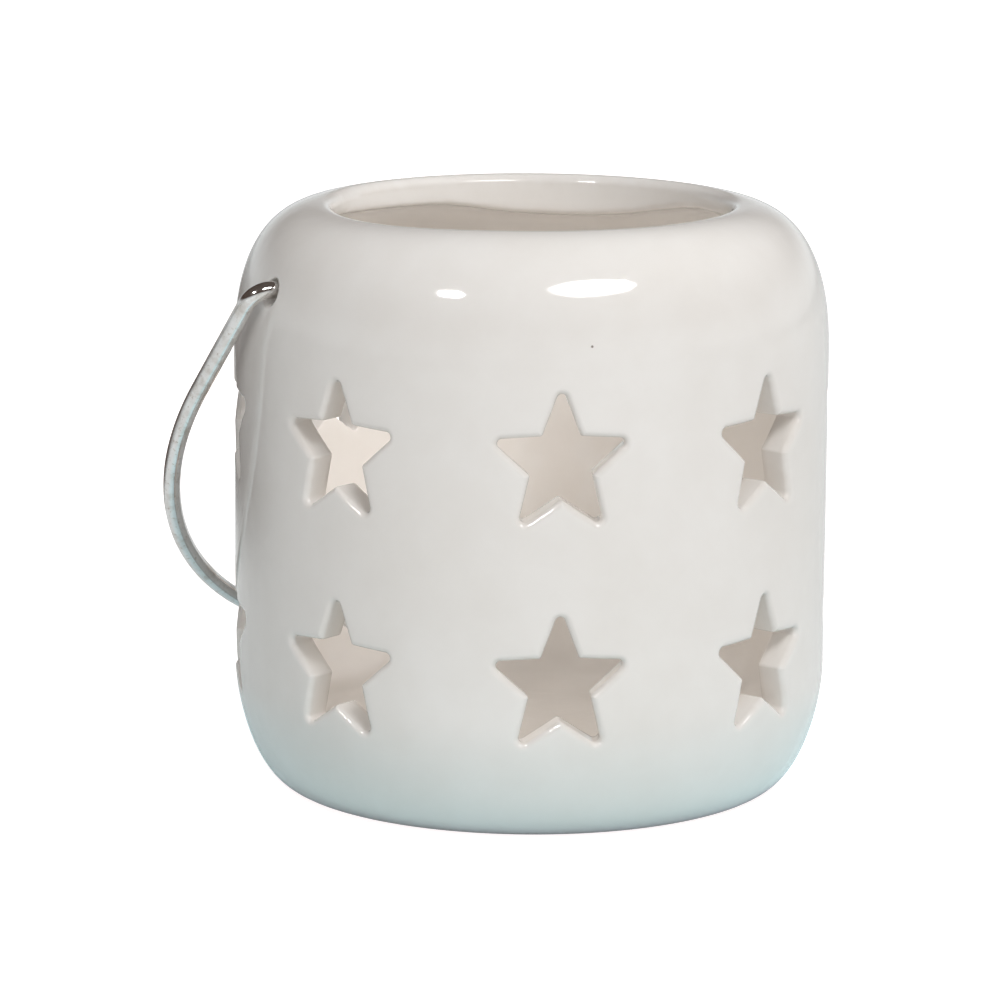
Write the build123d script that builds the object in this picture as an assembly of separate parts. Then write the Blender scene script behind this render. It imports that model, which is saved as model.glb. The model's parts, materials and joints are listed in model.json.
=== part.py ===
from build123d import *
import math
import os

# Hanging tealight holder: a slip-cast glazed ceramic pot pierced with two rows of stars,
# carried by one bent-wire bail that is sprung into two holes in the shoulder.
#
# Units are millimetres. +Z is up, the origin is the centre of the foot on the ground plane,
# +X is the bail's hinge axis. The bail hangs down behind the pot (+Y), leaning on its wall.

os.makedirs("parts", exist_ok=True)

# ---------------------------------------------------------------- driving dimensions
BODY_R = 51.0            # outside radius of the straight wall
BODY_H = 100.6           # foot to the crown of the lip
WALL = 5.2               # slip-cast wall
WALL_Z0, WALL_Z1 = 16.5, 77.6   # straight part of the outer wall

SHOULDER_A, SHOULDER_B, SHOULDER_N = 17.0, 25.9, 2.45   # superellipse of the outer shoulder
LIP_TOP_R = 2.0          # rounding of the mouth's upper edge
LIP_LOW_R = 1.3          # rounding of the mouth's lower edge
MOUTH_R = 34.5           # throat radius
LIP_H = 5.9              # height of the mouth's inner face, roundings included

HEEL_A, HEEL_B, HEEL_N = 10.0, 21.4, 1.8     # superellipse of the outer heel
FOOT_R = BODY_R - HEEL_A                     # outer edge of the flat foot ring
FOOT_W = 4.0                                 # width of the foot ring
FOOT_RECESS = 1.2                            # depth of the hollow inside the foot ring

FLOOR_Z = 6.2            # inside floor
FLOOR_FLAT_R = 34.0      # flat part of the inside floor
CAVE_R = BODY_R - WALL   # inside radius
CAVE_Z0, CAVE_Z1 = 17.0, 77.0   # straight part of the inner wall

STAR_COLUMNS = 8
STAR_FIRST_DEG = 22.5
STAR_ROWS_Z = (27.3, 64.2)
STAR_TIP = 12.45         # centre to the sharp corner of a point
STAR_NOTCH = 5.4         # centre to the sharp corner between two points
STAR_STRETCH = 1.06      # the cutter is a little taller than it is wide
STAR_TIP_R = 0.85        # rounding of the points
STAR_NOTCH_R = 0.9       # rounding of the corners between the points
STAR_OUT_FILLET = 0.85   # glaze-softened outer edge
STAR_IN_FILLET = 0.35    # inner edge

HINGE_Z = 88.5           # height of the bail's axis
BAIL_HOLE_R = 2.4        # hole in the shoulder
BAIL_HOLE_FILLET = 0.6

WIRE_R = 1.5             # 3 mm wire
BAIL_ARC_R = 57.0        # centreline radius of the bow
BAIL_ARC_W = 32.1        # bow centre's distance from the hinge axis
BAIL_LEG_LEAN = 9.4      # degrees that each leg leans outwards
BAIL_BEND_R = 3.5        # centreline radius of the bend at the hole
BAIL_STUB_X = 38.6       # the wire's cut end, inside the pot
BAIL_REST_GAP = 0.3      # clearance between the bow and the wall when it hangs

# ---------------------------------------------------------------- pot
def shoulder(r0, z0, a, b, n, r):
    """Height of the superellipse centred at (r0, z0) at radius r."""
    k = max(0.0, min(1.0, (r - r0) / a))
    return z0 + b * (1 - k ** n) ** (1 / n)


def profile_face():
    sh_r0 = BODY_R - SHOULDER_A
    sh_z0 = BODY_H - SHOULDER_B
    lip_r = MOUTH_R + LIP_TOP_R
    lip_z = shoulder(sh_r0, sh_z0, SHOULDER_A, SHOULDER_B, SHOULDER_N, lip_r)

    # outer heel, from the foot ring up to the straight wall
    heel = [(FOOT_R, 0.0)]
    for deg in (22, 38, 52):
        t = math.radians(deg)
        heel.append((
            BODY_R - HEEL_A + HEEL_A * math.sin(t) ** (2 / HEEL_N),
            HEEL_B - HEEL_B * math.cos(t) ** (2 / HEEL_N),
        ))
    heel.append((BODY_R, WALL_Z0))
    # outer shoulder, from the straight wall to the lip
    sh = [(BODY_R, WALL_Z1)]
    for r in (50.2, 48.6, 46.0, 42.6, 39.2):
        sh.append((r, shoulder(sh_r0, sh_z0, SHOULDER_A, SHOULDER_B, SHOULDER_N, r)))
    sh.append((lip_r, lip_z))
    # inner shoulder, from the underside of the lip to the straight inner wall
    in_a = CAVE_R - MOUTH_R
    low_r = MOUTH_R + LIP_LOW_R
    low_z = lip_z - LIP_H
    in_b = low_z - CAVE_Z1
    ish = [(low_r, low_z)]
    for k in (0.38, 0.62, 0.80, 0.93):
        ish.append((MOUTH_R + in_a * k, CAVE_Z1 + in_b * (1 - k ** 2.3) ** (1 / 2.3)))
    ish.append((CAVE_R, CAVE_Z1))
    # inner heel
    ih_a, ih_b = CAVE_R - FLOOR_FLAT_R, CAVE_Z0 - FLOOR_Z
    ih = [(CAVE_R, CAVE_Z0)]
    for k in (0.93, 0.78, 0.55, 0.30):
        ih.append((FLOOR_FLAT_R + ih_a * k, CAVE_Z0 - ih_b * (1 - k ** 2) ** 0.5))
    ih.append((FLOOR_FLAT_R, FLOOR_Z))

    foot_in = FOOT_R - FOOT_W
    with BuildSketch(Plane.XZ) as sk:
        with BuildLine():
            Line((0, FOOT_RECESS), (foot_in - 2.0, FOOT_RECESS))
            Line((foot_in - 2.0, FOOT_RECESS), (foot_in, 0))
            Line((foot_in, 0), (FOOT_R, 0))
            Spline(*heel, tangents=((1, 0), (0, 1)))
            Line((BODY_R, WALL_Z0), (BODY_R, WALL_Z1))
            Spline(*sh, tangents=((0, 1), (-1, 0)))
            RadiusArc((lip_r, lip_z), (MOUTH_R, lip_z - LIP_TOP_R), -LIP_TOP_R)
            Line((MOUTH_R, lip_z - LIP_TOP_R), (MOUTH_R, low_z + LIP_LOW_R))
            RadiusArc((MOUTH_R, low_z + LIP_LOW_R), (low_r, low_z), -LIP_LOW_R)
            Spline(*ish, tangents=((1, 0), (0, -1)))
            Line((CAVE_R, CAVE_Z1), (CAVE_R, CAVE_Z0))
            Spline(*ih, tangents=((0, -1), (-1, 0)))
            Line((FLOOR_FLAT_R, FLOOR_Z), (0, FLOOR_Z))
            Line((0, FLOOR_Z), (0, FOOT_RECESS))
        make_face()
    return sk.sketch


def star_sketch():
    """Star outline, one point straight up (+Y of the sketch), corners still sharp."""
    pts = []
    for i in range(10):
        a = math.radians(90 + 36 * i)
        rad = STAR_TIP if i % 2 == 0 else STAR_NOTCH
        pts.append((rad * math.cos(a), rad * math.sin(a) * STAR_STRETCH))
    sharp = Polygon(*pts, align=None)
    rounded = sharp
    tips = [v for v in rounded.vertices() if math.hypot(v.X, v.Y) > 8.5]
    rounded = fillet(tips, STAR_TIP_R)
    notches = [v for v in rounded.vertices()
               if math.hypot(v.X, v.Y) < 1.1 * STAR_NOTCH * STAR_STRETCH]
    return fillet(notches, STAR_NOTCH_R)


def pot():
    body = revolve(profile_face(), axis=Axis.Z, revolution_arc=360)
    body = body.rotate(Axis.Z, 45)        # keeps the seam off the stars and the bail holes
    outline = star_sketch()
    cutters = []
    for z in STAR_ROWS_Z:
        for i in range(STAR_COLUMNS):
            deg = STAR_FIRST_DEG + i * 360 / STAR_COLUMNS
            a = math.radians(deg)
            out = Vector(math.cos(a), math.sin(a), 0)
            side = Vector(-math.sin(a), math.cos(a), 0)
            pl = Plane(origin=out * (CAVE_R - 6) + Vector(0, 0, z), x_dir=side, z_dir=out)
            cutters.append(extrude(pl * outline, amount=WALL + 12))
    for s in (-1, 1):
        pl = Plane(origin=(s * (MOUTH_R + 4), 0, HINGE_Z), x_dir=(0, 1, 0), z_dir=(s, 0, 0))
        cutters.append(extrude(pl * Circle(BAIL_HOLE_R), amount=24))
    body = body - cutters
    if isinstance(body, ShapeList):
        body = body[0]
    return body


def edges_at_radius(body, r, z_lo, z_hi, tol=0.05):
    """Edges lying on the cylinder of radius r, between two heights, that aren't whole rings."""
    found = []
    for e in body.edges():
        bb = e.bounding_box()
        if bb.min.Z < z_lo or bb.max.Z > z_hi:
            continue
        pts = [e @ t for t in (0.0, 0.25, 0.5, 0.75, 1.0)]
        if all(abs(math.hypot(p.X, p.Y) - r) < tol for p in pts) and e.length < 20:
            found.append(e)
    return found


def soften(body):
    out_edges = edges_at_radius(body, BODY_R, WALL_Z0, WALL_Z1)
    body = fillet(out_edges, STAR_OUT_FILLET)
    in_edges = edges_at_radius(body, CAVE_R, CAVE_Z0, CAVE_Z1)
    body = fillet(in_edges, STAR_IN_FILLET)
    rims = []
    for e in body.edges():
        bb = e.bounding_box()
        if bb.max.Z > HINGE_Z + 4 or bb.min.Z < HINGE_Z - 4 or max(abs(bb.min.Y), abs(bb.max.Y)) > 3:
            continue
        if min(abs(bb.min.X), abs(bb.max.X)) > 47 and e.length > 3:
            rims.append(e)
    print("bail hole rims", [round(e.length, 2) for e in rims])
    return fillet(rims, BAIL_HOLE_FILLET)


# ---------------------------------------------------------------- bail
def bail(rest_deg):
    lean = math.radians(BAIL_LEG_LEAN)
    # leg line is tangent to the bow: the point where they meet
    tx = BAIL_ARC_R * math.cos(lean)
    tw = BAIL_ARC_W - BAIL_ARC_R * math.sin(lean)
    corner = (BAIL_ARC_R - BAIL_ARC_W * math.sin(lean)) / math.cos(lean)
    turn = math.pi / 2 - lean
    back = BAIL_BEND_R * math.tan(turn / 2)
    ux, uw = math.sin(lean), math.cos(lean)
    b = math.radians(rest_deg)

    def at(x, w):
        return Vector(x, w * math.cos(b), HINGE_Z - w * math.sin(b))

    def mid_of_bend(s):
        # bend centre sits BAIL_BEND_R inside both lines
        cx, cw = corner - back, BAIL_BEND_R
        a = -math.pi / 2 + turn / 2
        return at(s * (cx + BAIL_BEND_R * math.cos(a)), cw + BAIL_BEND_R * math.sin(a))

    segs = []
    for s in (-1, 1):
        segs.append(Line(at(s * BAIL_STUB_X, 0), at(s * (corner - back), 0)))
        segs.append(ThreePointArc(at(s * (corner - back), 0), mid_of_bend(s),
                                  at(s * (corner + back * ux), back * uw)))
        segs.append(Line(at(s * (corner + back * ux), back * uw), at(s * tx, tw)))
    segs.append(ThreePointArc(at(-tx, tw), at(0, BAIL_ARC_W + BAIL_ARC_R), at(tx, tw)))
    path = Wire(segs)
    start = at(-BAIL_STUB_X, 0)
    section = Plane(origin=start, z_dir=(-1, 0, 0)) * Circle(WIRE_R)
    print("wire length", round(path.length, 1))
    return sweep(section, path=path)


APEX_W = BAIL_ARC_W + BAIL_ARC_R
REST_DEG = math.degrees(math.acos((BODY_R + WIRE_R + BAIL_REST_GAP) / APEX_W))

body = soften(pot())
wire = bail(REST_DEG)
print("rest angle below horizontal", round(REST_DEG, 2), "swing", round(180 + 2 * REST_DEG, 2))
print("pot volume", round(body.volume), "bail volume", round(wire.volume))
export_step(body, "parts/ceramic_pot.step")
export_step(wire, "parts/wire_bail.step")
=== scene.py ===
import json
import math

import bpy
import bmesh
import numpy as np
from mathutils import Matrix, Vector, noise
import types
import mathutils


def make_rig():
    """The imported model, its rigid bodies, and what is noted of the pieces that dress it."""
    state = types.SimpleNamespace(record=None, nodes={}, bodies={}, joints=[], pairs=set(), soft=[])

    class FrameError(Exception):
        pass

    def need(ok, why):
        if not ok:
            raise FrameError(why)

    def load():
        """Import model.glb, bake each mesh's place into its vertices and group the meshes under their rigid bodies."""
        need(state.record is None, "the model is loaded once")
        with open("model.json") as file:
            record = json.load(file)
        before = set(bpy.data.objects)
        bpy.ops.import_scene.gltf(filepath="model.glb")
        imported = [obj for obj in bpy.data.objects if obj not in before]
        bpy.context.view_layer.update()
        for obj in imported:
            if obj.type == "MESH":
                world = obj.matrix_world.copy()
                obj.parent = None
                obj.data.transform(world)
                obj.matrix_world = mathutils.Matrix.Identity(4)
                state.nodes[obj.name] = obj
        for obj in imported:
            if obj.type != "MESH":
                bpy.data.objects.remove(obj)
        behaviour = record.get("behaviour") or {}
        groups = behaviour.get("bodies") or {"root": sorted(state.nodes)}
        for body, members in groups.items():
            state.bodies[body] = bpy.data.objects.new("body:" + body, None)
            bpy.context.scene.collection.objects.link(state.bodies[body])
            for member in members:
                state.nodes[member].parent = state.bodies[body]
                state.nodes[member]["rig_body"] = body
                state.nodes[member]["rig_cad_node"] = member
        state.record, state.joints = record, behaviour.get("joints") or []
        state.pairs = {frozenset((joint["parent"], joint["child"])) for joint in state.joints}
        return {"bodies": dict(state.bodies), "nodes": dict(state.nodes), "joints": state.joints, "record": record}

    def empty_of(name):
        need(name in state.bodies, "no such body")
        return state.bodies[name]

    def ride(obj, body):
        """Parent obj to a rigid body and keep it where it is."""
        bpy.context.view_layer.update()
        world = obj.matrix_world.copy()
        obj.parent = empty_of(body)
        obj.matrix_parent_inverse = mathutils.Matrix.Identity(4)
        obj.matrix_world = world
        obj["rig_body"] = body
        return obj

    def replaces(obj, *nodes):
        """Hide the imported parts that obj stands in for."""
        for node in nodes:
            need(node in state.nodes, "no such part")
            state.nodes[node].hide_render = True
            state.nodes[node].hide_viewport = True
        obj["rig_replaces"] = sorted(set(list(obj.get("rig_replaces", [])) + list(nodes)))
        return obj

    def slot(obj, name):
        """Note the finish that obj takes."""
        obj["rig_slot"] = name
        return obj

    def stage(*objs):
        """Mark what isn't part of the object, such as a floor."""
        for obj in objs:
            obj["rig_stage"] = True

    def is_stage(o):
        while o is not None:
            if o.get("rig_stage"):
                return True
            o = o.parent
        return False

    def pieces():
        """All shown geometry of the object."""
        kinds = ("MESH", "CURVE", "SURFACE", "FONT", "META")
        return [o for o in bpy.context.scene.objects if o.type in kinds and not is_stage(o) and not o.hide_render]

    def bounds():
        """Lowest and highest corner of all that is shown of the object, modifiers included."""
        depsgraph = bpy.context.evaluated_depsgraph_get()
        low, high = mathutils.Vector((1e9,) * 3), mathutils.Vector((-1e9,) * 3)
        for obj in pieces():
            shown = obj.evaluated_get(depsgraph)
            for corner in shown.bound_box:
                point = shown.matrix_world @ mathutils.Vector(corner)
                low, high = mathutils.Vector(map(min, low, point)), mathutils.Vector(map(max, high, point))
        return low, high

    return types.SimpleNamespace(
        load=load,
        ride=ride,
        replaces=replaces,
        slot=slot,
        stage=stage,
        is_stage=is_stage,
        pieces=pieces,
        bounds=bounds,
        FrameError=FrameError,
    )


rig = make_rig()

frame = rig.load()
CAD_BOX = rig.bounds()
MM = 0.001

# ------------------------------------------------------------------ shape of the pot (mm)
R_OUT, R_IN = 51.0, 45.8
HEEL_A, HEEL_B, HEEL_N = 10.0, 21.4, 1.8
SH_R, SH_Z, SH_A, SH_B, SH_N = 34.0, 74.7, 17.0, 25.9, 2.45
MOUTH_R, LIP_R, LOW_R = 34.5, 2.0, 1.3
LIP_RX = MOUTH_R + LIP_R
FLOOR_Z, FLOOR_R, IN_Z0, IN_Z1, IN_N = 6.2, 34.0, 17.0, 77.0, 2.3
FOOT_R, FOOT_IN, RECESS = 41.0, 37.0, 1.2
HINGE_Z, HOLE_R, HOLE_DROP = 88.5, 2.15, 0.35      # glaze narrows the hole; the wire rides at its top
ROWS = (27.3, 64.2)
HALF_H = (ROWS[1] - ROWS[0]) / 2
HALF_U = R_OUT * math.radians(22.5)

STAR_TIP, STAR_NOTCH, STAR_STRETCH = 12.5, 5.5, 1.055
TIP_ROUND, NOTCH_ROUND = 0.85, 0.6
SOFT_OUT, SOFT_IN = 1.05, 0.35


def r_out(z):
    if z < HEEL_B:
        k = max(0.0, min(1.0, (HEEL_B - z) / HEEL_B))
        return R_OUT - HEEL_A + HEEL_A * (1 - k ** HEEL_N) ** (1 / HEEL_N)
    if z > SH_Z:
        k = min(1.0, (z - SH_Z) / SH_B)
        return SH_R + SH_A * (1 - k ** SH_N) ** (1 / SH_N)
    return R_OUT


def z_shoulder(r):
    k = max(0.0, (r - SH_R) / SH_A)
    return SH_Z + SH_B * (1 - k ** SH_N) ** (1 / SH_N)


LIP_Z = z_shoulder(LIP_RX)
VIEW_AZ = math.radians(28.3)


def from_far(th):
    """Degrees round the rim from the side away from the usual front, positive to the left."""
    return (math.degrees(th) - 61.7 + 180) % 360 - 180


LIP_KEYS = ((-180, 5.0), (-140, 4.4), (-100, 3.9), (-55, 3.9), (-48, 4.3), (-42, 4.9), (-36, 5.5), (-30, 6.2), (-23, 6.75),
            (-17, 7.0), (-8, 7.15), (0, 6.95), (6, 6.7), (12, 6.25), (18, 5.65), (25, 5.1), (31, 4.9), (44, 4.75),
            (57, 4.55), (69, 4.2), (95, 4.2), (140, 4.7), (180, 5.0))


def lip_low(th):
    """Lower edge of the mouth's inner face: fettled by hand, so its height wanders."""
    return LIP_Z - float(np.interp(from_far(th), [k[0] for k in LIP_KEYS], [k[1] for k in LIP_KEYS]))


def bump(x, c, w):
    d = abs((x - c + 180) % 360 - 180)
    return math.cos(math.pi / 2 * d / w) ** 2 if d < w else 0.0


def mouth_dr(th):
    """The sponged mouth isn't a true circle."""
    a = from_far(th)
    return -0.55 * bump(a, -100, 55) - 0.45 * bump(a, 92, 40)


def crown_dz(th, r):
    """The rim dips a little on one side."""
    k = min(1.0, max(0.0, (47.0 - r) / 10.0))
    return -0.5 * bump(from_far(th), 128, 52) * k * k * (3 - 2 * k)


def r_in(z, th=0.0):
    if z < IN_Z0:
        k = min(1.0, (IN_Z0 - z) / (IN_Z0 - FLOOR_Z))
        return FLOOR_R + (R_IN - FLOOR_R) * math.sqrt(max(0.0, 1 - k * k))
    if z > IN_Z1:
        k = min(1.0, (z - IN_Z1) / (lip_low(th) - IN_Z1))
        return MOUTH_R + (R_IN - MOUTH_R) * (1 - k ** IN_N) ** (1 / IN_N)
    return R_IN


def z_in(r, th):
    k = max(0.0, (r - MOUTH_R) / (R_IN - MOUTH_R))
    return IN_Z1 + (lip_low(th) - IN_Z1) * (1 - k ** IN_N) ** (1 / IN_N)


# ------------------------------------------------------------------ star outline and cell
NA, NS = 5, 6            # steps in half a rounded corner, and along a straight edge
SECT = 2 * NA + NS       # steps from a point to the next notch


def star_outline(d=0.0):
    """Closed outline, anticlockwise, starting at the top point's apex, 10 * SECT points, grown by d."""
    base = []
    for i in range(10):
        a = math.radians(90 + 36 * i)
        rad = STAR_TIP if i % 2 == 0 else STAR_NOTCH
        base.append(np.array((rad * math.cos(a), rad * math.sin(a) * STAR_STRETCH)))
    lines = []
    for i in range(10):
        p, q = base[i], base[(i + 1) % 10]
        t = (q - p) / np.linalg.norm(q - p)
        lines.append((p + d * np.array((t[1], -t[0])), t))
    corner = []
    for i in range(10):
        (p, t), (q, w) = lines[i - 1], lines[i]
        k = ((q - p)[0] * w[1] - (q - p)[1] * w[0]) / (t[0] * w[1] - t[1] * w[0])
        corner.append(p + t * k)
    arcs = []
    for i in range(10):
        v, p, n = corner[i], corner[i - 1], corner[(i + 1) % 10]
        rho = TIP_ROUND + d if i % 2 == 0 else max(NOTCH_ROUND - d, 0.03)
        d0, d1 = (p - v) / np.linalg.norm(p - v), (n - v) / np.linalg.norm(n - v)
        half = math.acos(np.clip(d0 @ d1, -1, 1)) / 2
        bis = (d0 + d1) / np.linalg.norm(d0 + d1)
        c = v + bis * rho / math.sin(half)
        t0, t1 = v + d0 * rho / math.tan(half), v + d1 * rho / math.tan(half)
        a0, a1 = math.atan2(*(t0 - c)[::-1]), math.atan2(*(t1 - c)[::-1])
        sweep = (a1 - a0 + math.pi) % (2 * math.pi) - math.pi
        arcs.append([c + rho * np.array((math.cos(a0 + sweep * k / (2 * NA)), math.sin(a0 + sweep * k / (2 * NA)))) for k in range(2 * NA + 1)])
    out = []
    for i in range(10):
        a, b = arcs[i], arcs[(i + 1) % 10]
        out += a[NA:2 * NA]                      # apex of this corner to its tangent point
        s, e = a[2 * NA], b[0]
        out += [s + (e - s) * k / NS for k in range(NS)]
        out += b[0:NA]                           # tangent point of the next corner to its apex
    return np.array(out)


def cell_border():
    """Border points of a cell that pair with the outline, in the cell's (u, z) plane."""
    q = SECT // 2
    ty = HALF_U * math.tan(math.radians(18))
    tx = HALF_H / math.tan(math.radians(54))
    w, h = HALF_U, HALF_H
    legs = [((0, h), (-tx, h), SECT), ((-tx, h), (-w, h), q), ((-w, h), (-w, ty), SECT - q),
            ((-w, ty), (-w, -ty), SECT), ((-w, -ty), (-w, -h), SECT - q), ((-w, -h), (-tx, -h), q),
            ((-tx, -h), (0, -h), SECT), ((0, -h), (tx, -h), SECT), ((tx, -h), (w, -h), q),
            ((w, -h), (w, -ty), SECT - q), ((w, -ty), (w, ty), SECT), ((w, ty), (w, h), SECT - q),
            ((w, h), (tx, h), q), ((tx, h), (0, h), SECT)]
    out = []
    for a, b, n in legs:
        a, b = np.array(a, float), np.array(b, float)
        out += [a + (b - a) * k / n for k in range(n)]
    return np.array(out)


BORDER = cell_border()
assert len(star_outline()) == len(BORDER) == 10 * SECT


# ------------------------------------------------------------------ mesh store
class Store:
    def __init__(self):
        self.v, self.tag, self.f, self.mat, self.key = [], [], [], [], {}

    def add(self, th, z, r, tag=0.0):
        self.v.append((r * math.cos(th), r * math.sin(th), z))
        self.tag.append(tag)
        return len(self.v) - 1

    def at(self, layer, th, z, r, tag=0.0):
        """A vertex that neighbours share, found again by its angle and height."""
        k = (layer, round((th % (2 * math.pi)) * 2e4) % round(2 * math.pi * 2e4), round(z * 200))
        if k not in self.key:
            self.key[k] = self.add(th, z, r, tag)
        return self.key[k]

    def strip(self, a, b, mat=0, flip=False):
        n = len(a)
        for i in range(n):
            j = (i + 1) % n
            q = (a[i], a[j], b[j], b[i])
            q = q[::-1] if flip else q
            if len(set(q)) > 2:
                self.f.append(q if len(set(q)) == 4 else tuple(dict.fromkeys(q)))
                self.mat.append(mat)


S = Store()


def soft_depth(d, f):
    d = min(max(d, 0.0), f)
    return f - math.sqrt(max(0.0, f * f - (f - d) ** 2))


def star_cell(th0, z0, layer):
    """One cell of wall with its star. Returns the ring of vertices at the star's edge."""
    outer = layer == "o"
    rad = r_out if outer else r_in
    base_r = R_OUT if outer else R_IN
    f = SOFT_OUT if outer else SOFT_IN
    # the star is pushed straight through, so its side-to-side size is the same inside
    border = BORDER.copy()
    border[:, 0] *= base_r / R_OUT
    ds = (0, 0.06, 0.2, 0.42, 0.7, 1.0) if outer else (0, 0.25, 1.0)
    rings = []
    for d in ds:
        loop = star_outline(d * f)
        loop[:, 0] = base_r * np.arcsin(loop[:, 0] / base_r)
        rings.append((loop, soft_depth(d * f, f), 1.0 - d))
    last = rings[-1][0]
    for t in ((0.08, 0.19, 0.32, 0.48, 0.65, 0.83) if outer else (0.2, 0.45, 0.72)):
        rings.append((last * (1 - t) + border * t, 0.0, 0.0))
    ids = []
    for pts, h, tag in rings:
        row = []
        for (a, b) in pts:
            z = z0 + b
            row.append(S.add(th0 + a / base_r, z, rad(z) + (-h if outer else h), tag))
        ids.append(row)
    ids.append([S.at(layer, th0 + a / base_r, z0 + b, rad(z0 + b)) for a, b in border])
    for a, b in zip(ids, ids[1:]):
        S.strip(a, b, flip=not outer)
    return ids[0]


def tunnel(a, b, n, tag):
    """Straight wall of a hole, from ring a on the outside to ring b on the inside."""
    rows = [a]
    for k in range(1, n):
        t = k / n
        row = []
        for i, j in zip(a, b):
            p = np.array(S.v[i]) * (1 - t) + np.array(S.v[j]) * t
            S.v.append(tuple(p)); S.tag.append(tag * (1 - t))
            row.append(len(S.v) - 1)
        rows.append(row)
    rows.append(b)
    for p, q in zip(rows, rows[1:]):
        S.strip(q, p)


for c in range(8):
    th0 = math.radians(22.5 + 45 * c)
    for z0 in ROWS:
        tunnel(star_cell(th0, z0, "o"), star_cell(th0, z0, "i"), 5, 0.25)

# angles of the columns, taken from a cell's upper border
top_u = sorted({round(float(u), 9) for u, z in BORDER if abs(z - HALF_H) < 1e-9})
COLS = []
for c in range(8):
    COLS += [math.radians(22.5 + 45 * c) + u / R_OUT for u in top_u[:-1]]
NC = len(COLS)
Z_TOP, Z_BOT = ROWS[1] + HALF_H, ROWS[0] - HALF_H


def ring(fn, tag=0.0):
    out = []
    for th in COLS:
        r, z = fn(th)
        out.append(S.add(th, z, r, tag))
    return out


def border_ring(layer, z):
    rad = r_out if layer == "o" else r_in
    return [S.at(layer, th, z, rad(z)) for th in COLS]


ZS = [83.5, 84.4, 85.4, 86.4, 87.45, 88.5, 89.55, 90.6, 91.6, 92.6]
PATCH_K = (2, 10)          # rows of the shoulder that the bail hole's patch spans
PATCH_J = 5                # columns each side


def shoulder(layer):
    rad = (lambda z, th: r_out(z)) if layer == "o" else r_in
    rows = [border_ring(layer, Z_TOP)]
    for z in ZS:
        rows.append([S.add(th, z, rad(z, th)) for th in COLS])
    edge = []
    for side in (0, 1):
        ang = 0.0 if side == 0 else math.pi
        j0 = min(range(NC), key=lambda j: abs((COLS[j] - ang + math.pi) % (2 * math.pi) - math.pi))
        k0, k1 = PATCH_K
        js = [(j0 + d) % NC for d in range(-PATCH_J, PATCH_J + 1)]
        loop = [rows[k0][j] for j in js] + [rows[k][js[-1]] for k in range(k0 + 1, k1)]
        loop += [rows[k1][j] for j in js[::-1]] + [rows[k][js[0]] for k in range(k1 - 1, k0, -1)]
        edge.append((loop, set((k, j) for k in range(k0, k1) for j in js[:-1]), ang, js))
    skip = set().union(*[e[1] for e in edge])
    for k in range(len(rows) - 1):
        for j in range(NC):
            if (k, j) not in skip:
                q = (rows[k][j], rows[k][(j + 1) % NC], rows[k + 1][(j + 1) % NC], rows[k + 1][j])
                S.f.append(q if layer == "o" else q[::-1]); S.mat.append(0)
    holes = []
    f = 0.7 if layer == "o" else 0.3
    for loop, _, ang, js in edge:
        sx = 1 if ang == 0.0 else -1
        B = np.array([(S.v[i][1] * sx, S.v[i][2]) for i in loop])
        c = np.array((0.0, HINGE_Z - HOLE_DROP))
        dirs = (B - c) / np.linalg.norm(B - c, axis=1)[:, None]
        rings = [(c + dirs * (HOLE_R + d * f), soft_depth(d * f, f), 1 - d) for d in (0, 0.1, 0.35, 0.65, 1.0)]
        last = rings[-1][0]
        rings += [(last * (1 - t) + B * t, 0.0, 0.0) for t in (0.35, 0.7)]
        ids = []
        for pts, h, tag in rings:
            row = []
            for y, z in pts:
                r = rad(z, ang + math.asin(y / 44.0))
                r += -h if layer == "o" else h
                x = math.sqrt(r * r - y * y)
                S.v.append((sx * x, sx * y, z)); S.tag.append(tag)
                row.append(len(S.v) - 1)
            ids.append(row)
        ids.append(loop)
        for a, b in zip(ids, ids[1:]):
            S.strip(a, b, flip=layer != "o")
        holes.append(ids[0])
    return rows[-1], holes


top_o, holes_o = shoulder("o")
top_i, holes_i = shoulder("i")
for a, b in zip(holes_o, holes_i):
    tunnel(a, b, 4, 0.3)

# upper shoulder, lip and the underside of the lip
rows = [top_o]
for r in (47.3, 46.6, 45.8, 44.9, 43.9, 42.8, 41.6, 40.4, 39.2, 38.1, 37.2):
    rows.append(ring(lambda th, r=r: (r, z_shoulder(r) + crown_dz(th, r))))
rows.append(ring(lambda th: (LIP_RX + mouth_dr(th), LIP_Z + crown_dz(th, LIP_RX)), 0.15))
for k in range(1, 9):
    a = math.radians(90 * k / 8)
    rows.append(ring(lambda th, a=a: (LIP_RX + mouth_dr(th) - LIP_R * math.sin(a),
                                      LIP_Z + crown_dz(th, LIP_RX) - LIP_R + LIP_R * math.cos(a)), 0.55 if k < 8 else 0.3))
for t in (0.25, 0.5, 0.75, 1.0):
    rows.append(ring(lambda th, t=t: (MOUTH_R + mouth_dr(th), (LIP_Z + crown_dz(th, LIP_RX) - LIP_R) * (1 - t) + (lip_low(th) + LOW_R) * t)))
for k in range(1, 6):
    a = math.radians(90 * k / 5)
    rows.append(ring(lambda th, a=a: (MOUTH_R + mouth_dr(th) + LOW_R - LOW_R * math.cos(a), lip_low(th) + LOW_R - LOW_R * math.sin(a)), 0.6))
for t in (0.9, 0.72, 0.54, 0.36, 0.18):
    def under(th, t=t):
        r0 = r_in(ZS[-1], th)
        r = r0 + (MOUTH_R + LOW_R - r0) * t
        return r + mouth_dr(th) * t, min(z_in(r, th), lip_low(th))
    rows.append(ring(under))
rows.append(top_i)
for a, b in zip(rows, rows[1:]):
    S.strip(a, b)

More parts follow.
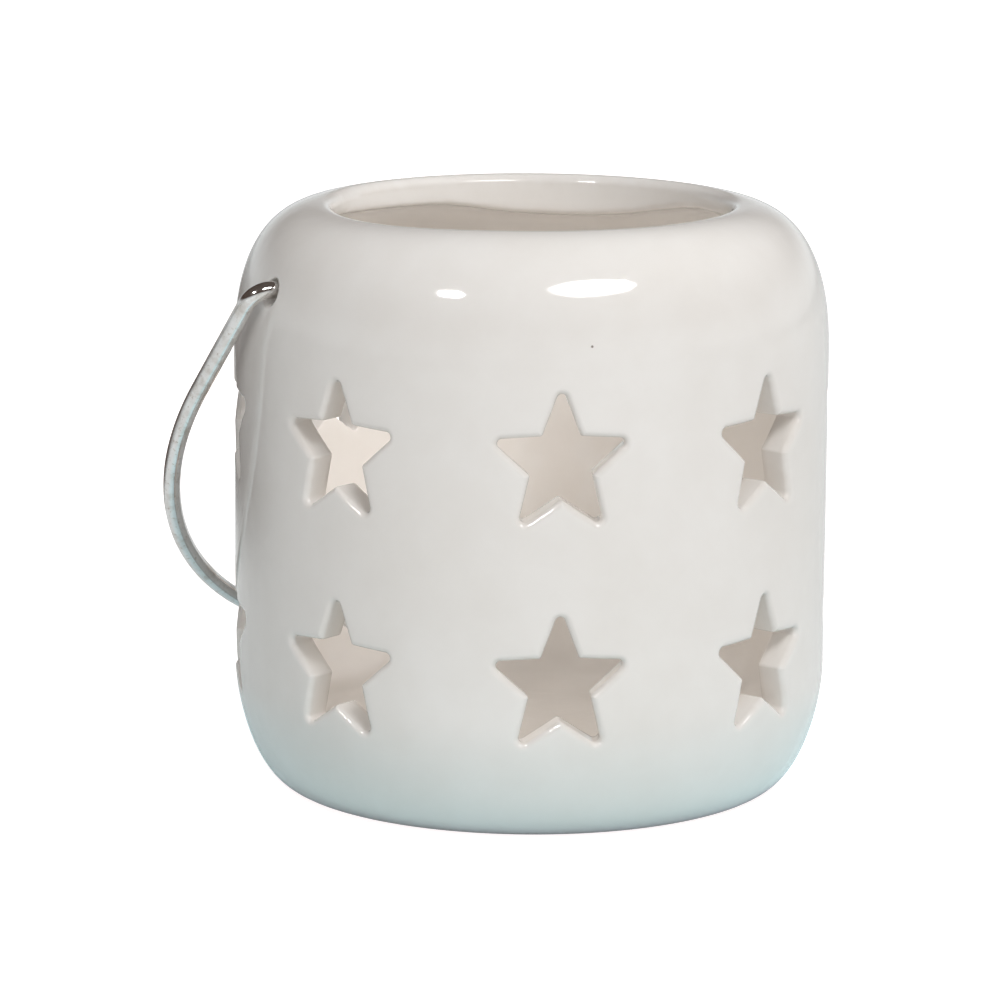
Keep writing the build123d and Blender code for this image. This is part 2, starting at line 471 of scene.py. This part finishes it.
# heel and foot
rows = [border_ring("o", Z_BOT)]
for z in (7.3, 5.8, 4.5, 3.4, 2.5, 1.75, 1.15, 0.7, 0.36, 0.14, 0.03):
    rows.append(ring(lambda th, z=z: (r_out(z), z)))
rows.append(ring(lambda th: (FOOT_R - 0.3, 0.0)))
n_glaze = len(rows) - 1
for r, z in ((39.6, 0.0), (38.4, 0.0), (37.5, 0.0), (37.1, 0.05), (36.7, 0.2), (36.3, 0.45), (35.9, 0.75), (35.4, 1.0), (34.8, 1.15), (34.0, 1.2),
             (30.0, 1.2), (24.0, 1.2), (17.0, 1.2), (10.0, 1.2), (4.0, 1.2), (1.0, 1.2)):
    rows.append(ring(lambda th, r=r, z=z: (r, z)))
for i, (a, b) in enumerate(zip(rows, rows[1:])):
    S.strip(a, b, mat=1 if n_glaze <= i < n_glaze + 5 else 0, flip=True)
S.v.append((0, 0, 1.2)); S.tag.append(0.0)
for j in range(NC):
    S.f.append((rows[-1][(j + 1) % NC], rows[-1][j], len(S.v) - 1)); S.mat.append(0)

# inner heel and floor
rows = [border_ring("i", Z_BOT)]
for z in (8.2, 7.6, 7.1, 6.7, 6.42, 6.26):
    rows.append(ring(lambda th, z=z: (r_in(z), z)))
for r in (34.0, 31.0, 27.0, 22.0, 16.0, 10.0, 4.0, 1.0):
    rows.append(ring(lambda th, r=r: (r, FLOOR_Z)))
for a, b in zip(rows, rows[1:]):
    S.strip(a, b)
S.v.append((0, 0, FLOOR_Z)); S.tag.append(0.0)
for j in range(NC):
    S.f.append((rows[-1][j], rows[-1][(j + 1) % NC], len(S.v) - 1)); S.mat.append(0)

# slip-cast ware is never dead true: let the faces wander inwards by a few tenths
co = np.array(S.v)
tag = np.array(S.tag)
for i, (x, y, z) in enumerate(S.v):
    r = math.hypot(x, y)
    if r < 34.6 or z < 2.0:
        continue
    fade = min(1.0, (z - 2.0) / 8.0)
    n1 = noise.noise(Vector((x * 0.021, y * 0.021, z * 0.017 + 3.1)))
    n2 = noise.noise(Vector((x * 0.075 + 7.0, y * 0.075, z * 0.06)))
    d = (0.16 * (n1 - 0.6) + 0.05 * (n2 - 0.6)) * fade
    k = (r + d) / r
    co[i, 0] *= k
    co[i, 1] *= k

me = bpy.data.meshes.new("glazed_pot")
me.from_pydata((co * MM).tolist(), [], S.f)
me.polygons.foreach_set("material_index", S.mat)
me.polygons.foreach_set("use_smooth", [True] * len(me.polygons))
att = me.attributes.new("soft_edge", "FLOAT", "POINT")
att.data.foreach_set("value", tag.astype(np.float32))
# 0 on the outer face, 1 on the inner one, blended through the wall
rr = np.hypot(np.array(S.v)[:, 0], np.array(S.v)[:, 1])
zz = np.array(S.v)[:, 2]
skin = np.array([r_out(z) if z < LIP_Z else LIP_RX for z in zz])
inner = np.clip((skin - rr - 0.8) / 4.0, 0, 1) * (zz > 1.5)
inner *= np.clip((LIP_Z - 5.0 - zz) / 3.0, 0, 1)
att = me.attributes.new("inside", "FLOAT", "POINT")
att.data.foreach_set("value", inner.astype(np.float32))
me.update()
bm = bmesh.new()
bm.from_mesh(me)
bad = sum(1 for e in bm.edges if len(e.link_faces) != 2)
bmesh.ops.recalc_face_normals(bm, faces=bm.faces)
vol = bm.calc_volume(signed=True)
if vol < 0:
    bmesh.ops.reverse_faces(bm, faces=bm.faces)
bmesh.ops.delete(bm, geom=[v for v in bm.verts if not v.link_faces], context="VERTS")
loose = sum(1 for v in bm.verts if not v.link_faces)
bm.to_mesh(me)
bm.free()
print("pot mesh", len(me.vertices), len(me.polygons), "open edges", bad, "loose", loose, "volume cm3", round(vol * 1e6, 1))
pot = bpy.data.objects.new("glazed_pot", me)
bpy.context.collection.objects.link(pot)
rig.ride(pot, "pot")
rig.replaces(pot, "ceramic_pot")
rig.slot(pot, "glaze")

# ------------------------------------------------------------------ bail
WIRE_R, ARC_R, ARC_W, LEAN, BEND_R, STUB_X = 1.495, 57.0, 32.1, math.radians(9.4), 3.5, 38.6
REST = math.acos((51.0 + 1.5 + 0.3) / (ARC_R + ARC_W))


def bail_path():
    """Centreline in the bail's own plane, as (x, w) points with a tangent each."""
    corner = (ARC_R - ARC_W * math.sin(LEAN)) / math.cos(LEAN)
    turn = math.pi / 2 - LEAN
    back = BEND_R * math.tan(turn / 2)
    half = []
    x0, x1 = STUB_X, corner - back
    for k in range(13):
        half.append((x0 + (x1 - x0) * k / 12, 0.0, 1.0, 0.0))
    for k in range(1, 15):
        a = -math.pi / 2 + turn * k / 14
        half.append((x1 + BEND_R * math.cos(a), BEND_R + BEND_R * math.sin(a), -math.sin(a), math.cos(a)))
    ax, aw = half[-1][0], half[-1][1]
    tx, tw = ARC_R * math.cos(LEAN), ARC_W - ARC_R * math.sin(LEAN)
    for k in range(1, 17):
        half.append((ax + (tx - ax) * k / 16, aw + (tw - aw) * k / 16, math.sin(LEAN), math.cos(LEAN)))
    n = 110
    for k in range(1, n + 1):
        a = -LEAN + (math.pi / 2 + LEAN) * k / n
        half.append((ARC_R * math.cos(a), ARC_W + ARC_R * math.sin(a), -math.sin(a), math.cos(a)))
    other = [(-x, w, dx, -dw) for x, w, dx, dw in half[-2::-1]]
    return half + other


path = bail_path()
cb, sb = math.cos(REST), math.sin(REST)
pn = Vector((0, sb, cb))                    # normal of the bail's plane
NW = 28
verts, faces = [], []
length = 0.0


def place(x, w):
    return Vector((x, w * cb, HINGE_Z - w * sb))


run = [0.0]
for a, b in zip(path, path[1:]):
    run.append(run[-1] + math.hypot(b[0] - a[0], b[1] - a[1]))
total = run[-1]
sections = []
ends = ((0.0, 0.62), (0.12, 0.86), (0.35, 0.97))      # sheared ends, edges knocked off
prof = []
p0, p1 = path[0], path[-1]
for off, k in ends:
    prof.append((p0[0] + off, p0[1], p0[2], p0[3], k, off))
for i, p in enumerate(path):
    if run[i] > 0.5 and total - run[i] > 0.5:
        prof.append((*p, 1.0, run[i]))
for off, k in ends[::-1]:
    prof.append((p1[0] + off, p1[1], p1[2], p1[3], k, total - off))
for x, w, dx, dw, k, s in prof:
    c = place(x, w)
    t = Vector((dx, dw * cb, -dw * sb)).normalized()
    side = pn.cross(t).normalized()
    # a bent wire flattens a trace where it was formed, and drawn wire isn't perfectly round
    near = math.exp(-(((abs(x) - 51.5) / 3.0) ** 2)) * math.exp(-((w / 5.0) ** 2))
    for j in range(NW):
        a = 2 * math.pi * j / NW
        rad = WIRE_R * k * (1 - 0.035 * near * math.cos(a) ** 2)
        rad *= 1 - 0.010 * (0.5 + 0.5 * noise.noise(Vector((s * 0.13, math.cos(a), math.sin(a)))))
        verts.append(c + side * (rad * math.cos(a)) + pn * (rad * math.sin(a)))
nrow = len(prof)
for i in range(nrow - 1):
    for j in range(NW):
        a, b = i * NW + j, i * NW + (j + 1) % NW
        faces.append((a, b, b + NW, a + NW))
for base, flip in ((0, True), ((nrow - 1) * NW, False)):
    c = sum((verts[base + j] for j in range(NW)), Vector()) / NW
    verts.append(c)
    ci = len(verts) - 1
    for j in range(NW):
        t = (base + j, base + (j + 1) % NW, ci)
        faces.append(t[::-1] if flip else t)
wm = bpy.data.meshes.new("bent_wire_bail")
wm.from_pydata([tuple(v * MM) for v in verts], [], faces)
wm.polygons.foreach_set("use_smooth", [True] * len(wm.polygons))
al = wm.attributes.new("along", "FLOAT", "POINT")
av = []
for p in prof:
    av += [p[5] * MM] * NW
av += [0.0, total * MM]
al.data.foreach_set("value", np.array(av, np.float32))
wm.update()
bm = bmesh.new()
bm.from_mesh(wm)
badw = sum(1 for e in bm.edges if len(e.link_faces) != 2)
bmesh.ops.recalc_face_normals(bm, faces=bm.faces)
bm.to_mesh(wm)
bm.free()
print("wire mesh", len(wm.vertices), "open edges", badw, "length", round(total, 1))
wire = bpy.data.objects.new("bent_wire_bail", wm)
bpy.context.collection.objects.link(wire)
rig.ride(wire, "bail")
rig.replaces(wire, "wire_bail")
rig.slot(wire, "plated_wire")


# ------------------------------------------------------------------ materials
def new_mat(name):
    m = bpy.data.materials.new(name)
    m.use_nodes = True
    nt = m.node_tree
    nt.nodes.clear()
    out = nt.nodes.new("ShaderNodeOutputMaterial")
    b = nt.nodes.new("ShaderNodeBsdfPrincipled")
    nt.links.new(b.outputs[0], out.inputs[0])
    return m, nt, b


def noise_node(nt, vec, scale, detail=2.0, rough=0.5, dim="3D"):
    n = nt.nodes.new("ShaderNodeTexNoise")
    n.noise_dimensions = dim
    n.inputs["Scale"].default_value = scale
    n.inputs["Detail"].default_value = detail
    n.inputs["Roughness"].default_value = rough
    nt.links.new(vec, n.inputs["Vector"])
    return n


def ramp(nt, fac, stops):
    r = nt.nodes.new("ShaderNodeValToRGB")
    els = r.color_ramp.elements
    while len(els) < len(stops):
        els.new(0.5)
    for e, (p, c) in zip(els, stops):
        e.position = p
        e.color = c if len(c) == 4 else (*c, 1)
    nt.links.new(fac, r.inputs[0])
    return r


def map_range(nt, v, a, b, c, d):
    m = nt.nodes.new("ShaderNodeMapRange")
    for i, x in zip((1, 2, 3, 4), (a, b, c, d)):
        m.inputs[i].default_value = x
    nt.links.new(v, m.inputs[0])
    return m


def mix_col(nt, fac, a, b, mode="MIX"):
    m = nt.nodes.new("ShaderNodeMix")
    m.data_type = "RGBA"
    m.blend_type = mode
    for sock, val in ((m.inputs[0], fac), (m.inputs[6], a), (m.inputs[7], b)):
        if hasattr(val, "is_linked"):
            nt.links.new(val, sock)
        elif isinstance(val, (int, float)):
            sock.default_value = val
        else:
            sock.default_value = (*val, 1) if len(val) == 3 else val
    return m.outputs[2]


def math_node(nt, op, a, b=None):
    m = nt.nodes.new("ShaderNodeMath")
    m.operation = op
    for sock, val in zip(m.inputs, (a, b)):
        if val is None:
            continue
        if hasattr(val, "is_linked"):
            nt.links.new(val, sock)
        else:
            sock.default_value = val
    return m.outputs[0]


GLAZE = (0.80, 0.775, 0.745)


# iron specks that burnt through the glaze: place and size in mm
SPECKS = ((-14.7, -48.2, 83.6, 0.30), (-44.2, 25.5, 52, 0.3), (-13.2, -49.3, 83, 0.25), (17.4, 47.9, 20, 0.3), (-46.2, -21.6, 33, 0.22))


def glaze_material():
    m, nt, b = new_mat("cream_white_glaze")
    tc = nt.nodes.new("ShaderNodeTexCoord")
    P = tc.outputs["Object"]
    broad = noise_node(nt, P, 28.0, 3.0, 0.5)
    cloud = noise_node(nt, P, 120.0, 3.0, 0.55)
    col = ramp(nt, broad.outputs[0], ((0.35, (0.865, 0.846, 0.818)), (0.65, (0.895, 0.880, 0.858)))).outputs[0]
    col2 = ramp(nt, cloud.outputs[0], ((0.35, (0.98, 0.976, 0.972)), (0.65, (1.0, 1.0, 1.0)))).outputs[0]
    col = mix_col(nt, 1.0, col, col2, "MULTIPLY")
    # the inside is tinted a little warmer: partly painted warm shade, standing in for light bounced round inside the
    # pot, and partly a thinner poured coat that shows more of the cream body
    ins = nt.nodes.new("ShaderNodeAttribute")
    ins.attribute_name = "inside"
    col = mix_col(nt, ins.outputs["Fac"], col, mix_col(nt, 1.0, col, (1.0, 0.98, 0.965), "MULTIPLY"))
    # glaze draws back from the cut edges, so the warmer body shows through a little
    edge = nt.nodes.new("ShaderNodeAttribute")
    edge.attribute_name = "soft_edge"
    wob = noise_node(nt, P, 420.0, 2.0, 0.5)
    e = math_node(nt, "MULTIPLY", edge.outputs["Fac"], map_range(nt, wob.outputs[0], 0.3, 0.7, 0.06, 0.32).outputs[0])
    col = mix_col(nt, e, col, (0.70, 0.645, 0.59))
    # iron specks and pinholes, few and far apart
    spot = None
    for k, (x, y, z, r) in enumerate(SPECKS):
        d = nt.nodes.new("ShaderNodeVectorMath")
        d.operation = "DISTANCE"
        nt.links.new(P, d.inputs[0])
        d.inputs[1].default_value = (x * MM, y * MM, z * MM)
        one = map_range(nt, d.outputs["Value"], r * 0.55 * MM, r * MM, 0.85, 0.0)
        spot = one.outputs[0] if spot is None else math_node(nt, "MAXIMUM", spot, one.outputs[0])
    col = mix_col(nt, spot, col, (0.13, 0.09, 0.065))
    nt.links.new(col, b.inputs["Base Color"])
    rn = noise_node(nt, P, 300.0, 3.0, 0.6)
    nt.links.new(map_range(nt, rn.outputs[0], 0.3, 0.7, 0.045, 0.085).outputs[0], b.inputs["Roughness"])
    b.inputs["IOR"].default_value = 1.5
    b.inputs["Coat Weight"].default_value = 0.35
    b.inputs["Coat Roughness"].default_value = 0.04
    # orange peel and a slow roll in the glaze
    n1 = noise_node(nt, P, 90.0, 2.0, 0.5)
    n2 = noise_node(nt, P, 620.0, 2.0, 0.5)
    b1 = nt.nodes.new("ShaderNodeBump")
    b1.inputs["Strength"].default_value = 0.10
    b1.inputs["Distance"].default_value = 0.0006
    nt.links.new(n1.outputs[0], b1.inputs["Height"])
    b2 = nt.nodes.new("ShaderNodeBump")
    b2.inputs["Strength"].default_value = 0.10
    b2.inputs["Distance"].default_value = 0.00012
    nt.links.new(n2.outputs[0], b2.inputs["Height"])
    nt.links.new(b1.outputs[0], b2.inputs["Normal"])
    nt.links.new(b2.outputs[0], b.inputs["Normal"])
    return m


def bisque_material():
    m, nt, b = new_mat("bare_bisque_foot")
    tc = nt.nodes.new("ShaderNodeTexCoord")
    P = tc.outputs["Object"]
    n = noise_node(nt, P, 900.0, 4.0, 0.6)
    g = noise_node(nt, P, 130.0, 3.0, 0.6)
    col = ramp(nt, n.outputs[0], ((0.3, (0.62, 0.57, 0.50)), (0.7, (0.76, 0.71, 0.65)))).outputs[0]
    dirt = ramp(nt, g.outputs[0], ((0.45, (1, 1, 1)), (0.8, (0.80, 0.77, 0.74)))).outputs[0]
    nt.links.new(mix_col(nt, 1.0, col, dirt, "MULTIPLY"), b.inputs["Base Color"])
    nt.links.new(map_range(nt, g.outputs[0], 0.3, 0.7, 0.75, 0.92).outputs[0], b.inputs["Roughness"])
    bp = nt.nodes.new("ShaderNodeBump")
    bp.inputs["Strength"].default_value = 0.5
    bp.inputs["Distance"].default_value = 0.00012
    nt.links.new(n.outputs[0], bp.inputs["Height"])
    nt.links.new(bp.outputs[0], b.inputs["Normal"])
    return m


def wire_material():
    m, nt, b = new_mat("plated_steel_wire")
    tc = nt.nodes.new("ShaderNodeTexCoord")
    P = tc.outputs["Object"]
    along = nt.nodes.new("ShaderNodeAttribute")
    along.attribute_name = "along"
    blot = noise_node(nt, P, 260.0, 4.0, 0.6)
    fine = noise_node(nt, P, 1500.0, 3.0, 0.6)
    col = ramp(nt, blot.outputs[0], ((0.34, (0.60, 0.565, 0.53)), (0.50, (0.76, 0.75, 0.74)), (0.8, (0.83, 0.83, 0.825)))).outputs[0]
    tarnish = ramp(nt, fine.outputs[0], ((0.30, (0.62, 0.55, 0.48)), (0.42, (1, 1, 1)))).outputs[0]
    nt.links.new(mix_col(nt, 0.7, col, tarnish, "MULTIPLY"), b.inputs["Base Color"])
    b.inputs["Metallic"].default_value = 1.0
    nt.links.new(map_range(nt, blot.outputs[0], 0.3, 0.75, 0.16, 0.06).outputs[0], b.inputs["Roughness"])
    # faint draw rings left by bending rolls
    w = nt.nodes.new("ShaderNodeTexNoise")
    w.noise_dimensions = "1D"
    w.inputs["Scale"].default_value = 700.0
    w.inputs["Detail"].default_value = 3.0
    nt.links.new(along.outputs["Fac"], w.inputs["W"])
    bp = nt.nodes.new("ShaderNodeBump")
    bp.inputs["Strength"].default_value = 0.10
    bp.inputs["Distance"].default_value = 0.00006
    nt.links.new(w.outputs[0], bp.inputs["Height"])
    b2 = nt.nodes.new("ShaderNodeBump")
    b2.inputs["Strength"].default_value = 0.12
    b2.inputs["Distance"].default_value = 0.00005
    nt.links.new(fine.outputs[0], b2.inputs["Height"])
    nt.links.new(bp.outputs[0], b2.inputs["Normal"])
    nt.links.new(b2.outputs[0], b.inputs["Normal"])
    return m


me.materials.append(glaze_material())
me.materials.append(bisque_material())
wm.materials.append(wire_material())

# ------------------------------------------------------------------ camera
def camera_axes(yaw, pitch, roll):
    cy, sy = math.cos(yaw), math.sin(yaw)
    f, r, u = np.array([sy, cy, 0.0]), np.array([cy, -sy, 0.0]), np.array([0, 0, 1.0])
    cp, sp = math.cos(pitch), math.sin(pitch)
    f2, u2 = f * cp - u * sp, u * cp + f * sp
    cr, sr = math.cos(roll), math.sin(roll)
    return r * cr + u2 * sr, -r * sr + u2 * cr, f2


right, up, fwd = camera_axes(math.radians(-0.343), math.radians(11.115), math.radians(0.305))
M = Matrix.Identity(4)
for i in range(3):
    M[i][0], M[i][1], M[i][2] = right[i], up[i], -fwd[i]
M[0][3], M[1][3], M[2][3] = 0.0, -0.8671, 0.2189
cam_data = bpy.data.cameras.new("camera")
cam_data.sensor_width = 36.0
cam_data.lens = 5127.0 / 1000.0 * 36.0
cam_data.clip_start, cam_data.clip_end = 0.05, 50.0
cam = bpy.data.objects.new("camera", cam_data)
cam.matrix_world = Matrix.Rotation(-VIEW_AZ, 4, "Z") @ M
bpy.context.collection.objects.link(cam)
bpy.context.scene.camera = cam

# ------------------------------------------------------------------ stage and light
TURN = Matrix.Rotation(-VIEW_AZ, 4, "Z")


def floor():
    bpy.ops.mesh.primitive_circle_add(vertices=96, radius=6.0, fill_type="NGON", location=(0, 0, -0.0001))
    ob = bpy.context.object
    ob.name = "studio_floor"
    m, nt, b = new_mat("pale_floor")
    tc = nt.nodes.new("ShaderNodeTexCoord")
    n = noise_node(nt, tc.outputs["Object"], 3.0, 2.0)
    far = ramp(nt, n.outputs[0], ((0.3, FLOOR_A), (0.7, FLOOR_B))).outputs[0]
    ln = nt.nodes.new("ShaderNodeVectorMath")
    ln.operation = "LENGTH"
    nt.links.new(tc.outputs["Object"], ln.inputs[0])
    near = map_range(nt, ln.outputs["Value"], 0.055, 0.100, 1.0, 0.0)
    near.interpolation_type = "SMOOTHSTEP"
    # painted contact shadow: the floor is painted darker in a ring just under the pot's heel
    under = map_range(nt, ln.outputs["Value"], 0.0425, 0.0465, 1.0, 0.0)
    nt.links.new(mix_col(nt, under.outputs[0], mix_col(nt, near.outputs[0], far, FLOOR_NEAR), FLOOR_PAINTED_SHADOW), b.inputs["Base Color"])
    b.inputs["Roughness"].default_value = 0.6
    lp = nt.nodes.new("ShaderNodeLightPath")
    seen = math_node(nt, "MULTIPLY", lp.outputs["Is Camera Ray"], FLOOR_SEEN_K)
    nt.links.new(mix_col(nt, lp.outputs["Is Glossy Ray"], FLOOR_GLOW, FLOOR_GLOSS), b.inputs["Emission Color"])
    shiny = math_node(nt, "MULTIPLY", lp.outputs["Is Glossy Ray"], FLOOR_GLOSS_K)
    nt.links.new(math_node(nt, "ADD", seen, shiny), b.inputs["Emission Strength"])
    ob.data.materials.append(m)
    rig.stage(ob)
    return ob


def dark_card():
    """A brown card beside the pot, seen only by what mirrors it: it puts the dark edge on the wire."""
    line = [(-0.100, -0.035), (-0.106, 0.0), (-0.102, 0.035), (-0.090, 0.070), (-0.074, 0.10)]
    vs = [tuple(TURN @ Vector((x, y, z))) for z in (0.010, 0.100) for x, y in line]
    n = len(line)
    mesh = bpy.data.meshes.new("dark_card")
    mesh.from_pydata(vs, [], [(i, i + 1, i + 1 + n, i + n) for i in range(n - 1)])
    ob = bpy.data.objects.new("dark_card", mesh)
    bpy.context.collection.objects.link(ob)
    m, nt, b = new_mat("brown_card")
    tc = nt.nodes.new("ShaderNodeTexCoord")
    g = noise_node(nt, tc.outputs["Object"], 8.0, 2.0)
    sep = nt.nodes.new("ShaderNodeSeparateXYZ")
    nt.links.new(tc.outputs["Object"], sep.inputs[0])
    along = nt.nodes.new("ShaderNodeVectorMath")
    along.operation = "DOT_PRODUCT"
    along.inputs[1].default_value = TURN @ Vector((0.0, 1.0, 0.0))
    nt.links.new(tc.outputs["Object"], along.inputs[0])
    fades = [map_range(nt, along.outputs["Value"], -0.022, 0.034, 0.0, 1.0),
             map_range(nt, sep.outputs["Z"], 0.072, 0.094, 1.0, 0.0),
             map_range(nt, sep.outputs["Z"], 0.016, 0.040, 0.0, 1.0)]
    for f in fades:
        f.interpolation_type = "SMOOTHSTEP"
    a = math_node(nt, "MULTIPLY", fades[0].outputs[0], fades[1].outputs[0])
    nt.links.new(math_node(nt, "MULTIPLY", a, fades[2].outputs[0]), b.inputs["Alpha"])
    nt.links.new(ramp(nt, g.outputs[0], ((0.3, (0.13, 0.102, 0.094)), (0.7, (0.20, 0.168, 0.158)))).outputs[0], b.inputs["Base Color"])
    b.inputs["Roughness"].default_value = 0.9
    mesh.materials.append(m)
    ob.visible_camera = False
    ob.visible_diffuse = False
    ob.visible_shadow = False
    ob.visible_transmission = False
    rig.stage(ob)


dark_card()

FLOOR_A, FLOOR_B = (0.68, 0.685, 0.68), (0.70, 0.705, 0.70)
FLOOR_NEAR = (0.56, 0.76, 0.80)
# the dark ring under the heel is a painted contact shadow
FLOOR_PAINTED_SHADOW = (0.16, 0.16, 0.22)
FLOOR_GLOW, FLOOR_GLOSS = (1.0, 0.95, 0.945, 1), (0.88, 0.97, 1.0, 1)
FLOOR_SEEN_K, FLOOR_GLOSS_K = 1.0, 0.30
floor()


def area(name, pos, target, sx, sy, power, color=(1, 1, 1), shape="RECTANGLE"):
    """A softbox; pos and target are in the camera's azimuth frame, in metres."""
    d = bpy.data.lights.new(name, "AREA")
    d.shape = shape
    d.size, d.size_y = sx, sy
    d.energy = power
    d.color = color
    ob = bpy.data.objects.new(name, d)
    p, t = Vector(pos), Vector(target)
    q = (p - t).to_track_quat("Z", "Y")
    ob.matrix_world = TURN @ (Matrix.Translation(p) @ q.to_matrix().to_4x4())
    bpy.context.collection.objects.link(ob)
    return ob


area("key_front_right", (0.61, -1.07, 1.32), (0, 0, 0.09), 0.93, 0.50, 12.6, (1.0, 0.985, 0.97), "ELLIPSE")
glint = area("fill_front_left", (-0.78, -1.09, 1.085), (0, 0, 0.09), 0.27, 0.15, 7.2, (1.0, 0.985, 0.97), "ELLIPSE")
glint.visible_diffuse = False
for ob in (area("front_soft", (-0.50, -1.25, 0.75), (0, 0, 0.05), 1.3, 0.9, 3.1, (1.0, 0.985, 0.975)),
           area("front_low", (-0.50, -1.0, 0.052), (0, 0, 0.052), 1.4, 0.085, 0.95, (1.0, 0.985, 0.98)),
           area("overhead", (-0.28, 0.0, 1.35), (0, 0, 0.05), 1.3, 1.3, 3.2, (1.0, 0.985, 0.975)),
           area("side_right", (1.12, 0.62, 0.34), (0, 0, 0.06), 0.9, 0.8, 1.8, (1.0, 0.965, 0.95)),
           area("low_left", (-0.95, -0.75, 0.055), (0, 0, 0.03), 0.9, 0.09, 0.4, (0.95, 0.985, 1.0))):
    ob.visible_glossy = False


def snoot(name, pos, power, half_deg, radius=0.03):
    """A narrow spot that lights the inside through the mouth."""
    d = bpy.data.lights.new(name, "SPOT")
    d.energy = power
    d.spot_size = math.radians(2 * half_deg)
    d.spot_blend = 0.6
    d.shadow_soft_size = radius
    d.color = (0.985, 0.98, 1.0)
    ob = bpy.data.objects.new(name, d)
    p, t = Vector(pos), Vector((0, 0, 0.098))
    ob.matrix_world = TURN @ (Matrix.Translation(p) @ (p - t).to_track_quat("Z", "Y").to_matrix().to_4x4())
    bpy.context.collection.objects.link(ob)


snoot("inside_front_right", (0.62, -0.56, 1.05), 27.0, 1.15)

# light that a thin white body lets through and scatters inside, as a faint lamp that nothing sees or mirrors
d = bpy.data.lights.new("inside_scatter", "POINT")
d.energy = 0.0118
d.color = (1.0, 0.95, 0.90)
d.shadow_soft_size = 0.02
scatter = bpy.data.objects.new("inside_scatter", d)
scatter.location = (0, 0, 0.044)
scatter.visible_camera = False
scatter.visible_glossy = False
bpy.context.collection.objects.link(scatter)

WORLD_A, WORLD_B, WORLD_UP = 0.31, 0.34, 0.0
world = bpy.data.worlds.new("studio")
world.use_nodes = True
wt = world.node_tree
bg = wt.nodes["Background"]
wout = [n for n in wt.nodes if n.type == "OUTPUT_WORLD"][0]
tcw = wt.nodes.new("ShaderNodeTexCoord")
side = (TURN @ Vector((math.sin(math.radians(100)), -math.cos(math.radians(100)), 0.0))).normalized()
dot = wt.nodes.new("ShaderNodeVectorMath")
dot.operation = "DOT_PRODUCT"
dot.inputs[1].default_value = (side.x * WORLD_B, side.y * WORLD_B, WORLD_UP)
wt.links.new(tcw.outputs["Generated"], dot.inputs[0])
add = wt.nodes.new("ShaderNodeMath")
add.operation = "ADD"
add.use_clamp = False
add.inputs[1].default_value = WORLD_A
wt.links.new(dot.outputs["Value"], add.inputs[0])
mx = wt.nodes.new("ShaderNodeMath")
mx.operation = "MAXIMUM"
mx.inputs[1].default_value = 0.03
wt.links.new(add.outputs[0], mx.inputs[0])
bg.inputs[0].default_value = (1.0, 0.985, 0.97, 1)
wt.links.new(mx.outputs[0], bg.inputs[1])
# what the gloss mirrors: a pale sweep up to a little over the horizon, a dark room above it
sep = wt.nodes.new("ShaderNodeSeparateXYZ")
wt.links.new(tcw.outputs["Generated"], sep.inputs[0])
room = ramp(wt, map_range(wt, sep.outputs["Z"], -0.5, 1.0, 0.0, 1.0).outputs[0],
            ((0.0, (0.74, 0.765, 0.77)), (0.37, (0.74, 0.765, 0.77)), (0.50, (0.085, 0.060, 0.050)), (1.0, (0.11, 0.09, 0.08))))
gloss = wt.nodes.new("ShaderNodeBackground")
wt.links.new(room.outputs[0], gloss.inputs[0])
seen = wt.nodes.new("ShaderNodeBackground")
seen.inputs[0].default_value = (1, 1, 1, 1)
seen.inputs[1].default_value = 1.1
lp = wt.nodes.new("ShaderNodeLightPath")
mixw = wt.nodes.new("ShaderNodeMixShader")
wt.links.new(lp.outputs["Is Camera Ray"], mixw.inputs[0])
mixg = wt.nodes.new("ShaderNodeMixShader")
wt.links.new(lp.outputs["Is Glossy Ray"], mixg.inputs[0])
wt.links.new(bg.outputs[0], mixg.inputs[1])
wt.links.new(gloss.outputs[0], mixg.inputs[2])
wt.links.new(mixg.outputs[0], mixw.inputs[1])
wt.links.new(seen.outputs[0], mixw.inputs[2])
wt.links.new(mixw.outputs[0], wout.inputs[0])
bpy.context.scene.world = world
bpy.context.scene.view_settings.view_transform = "Standard"

plain = lambda b: [[float(x) for x in c] for c in b]
try:
    with open("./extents.json", "w") as fh:
        json.dump({"cad_box": plain(CAD_BOX), "visual_box": plain(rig.bounds())}, fh)
except Exception as e:
    print("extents.json not written", e)
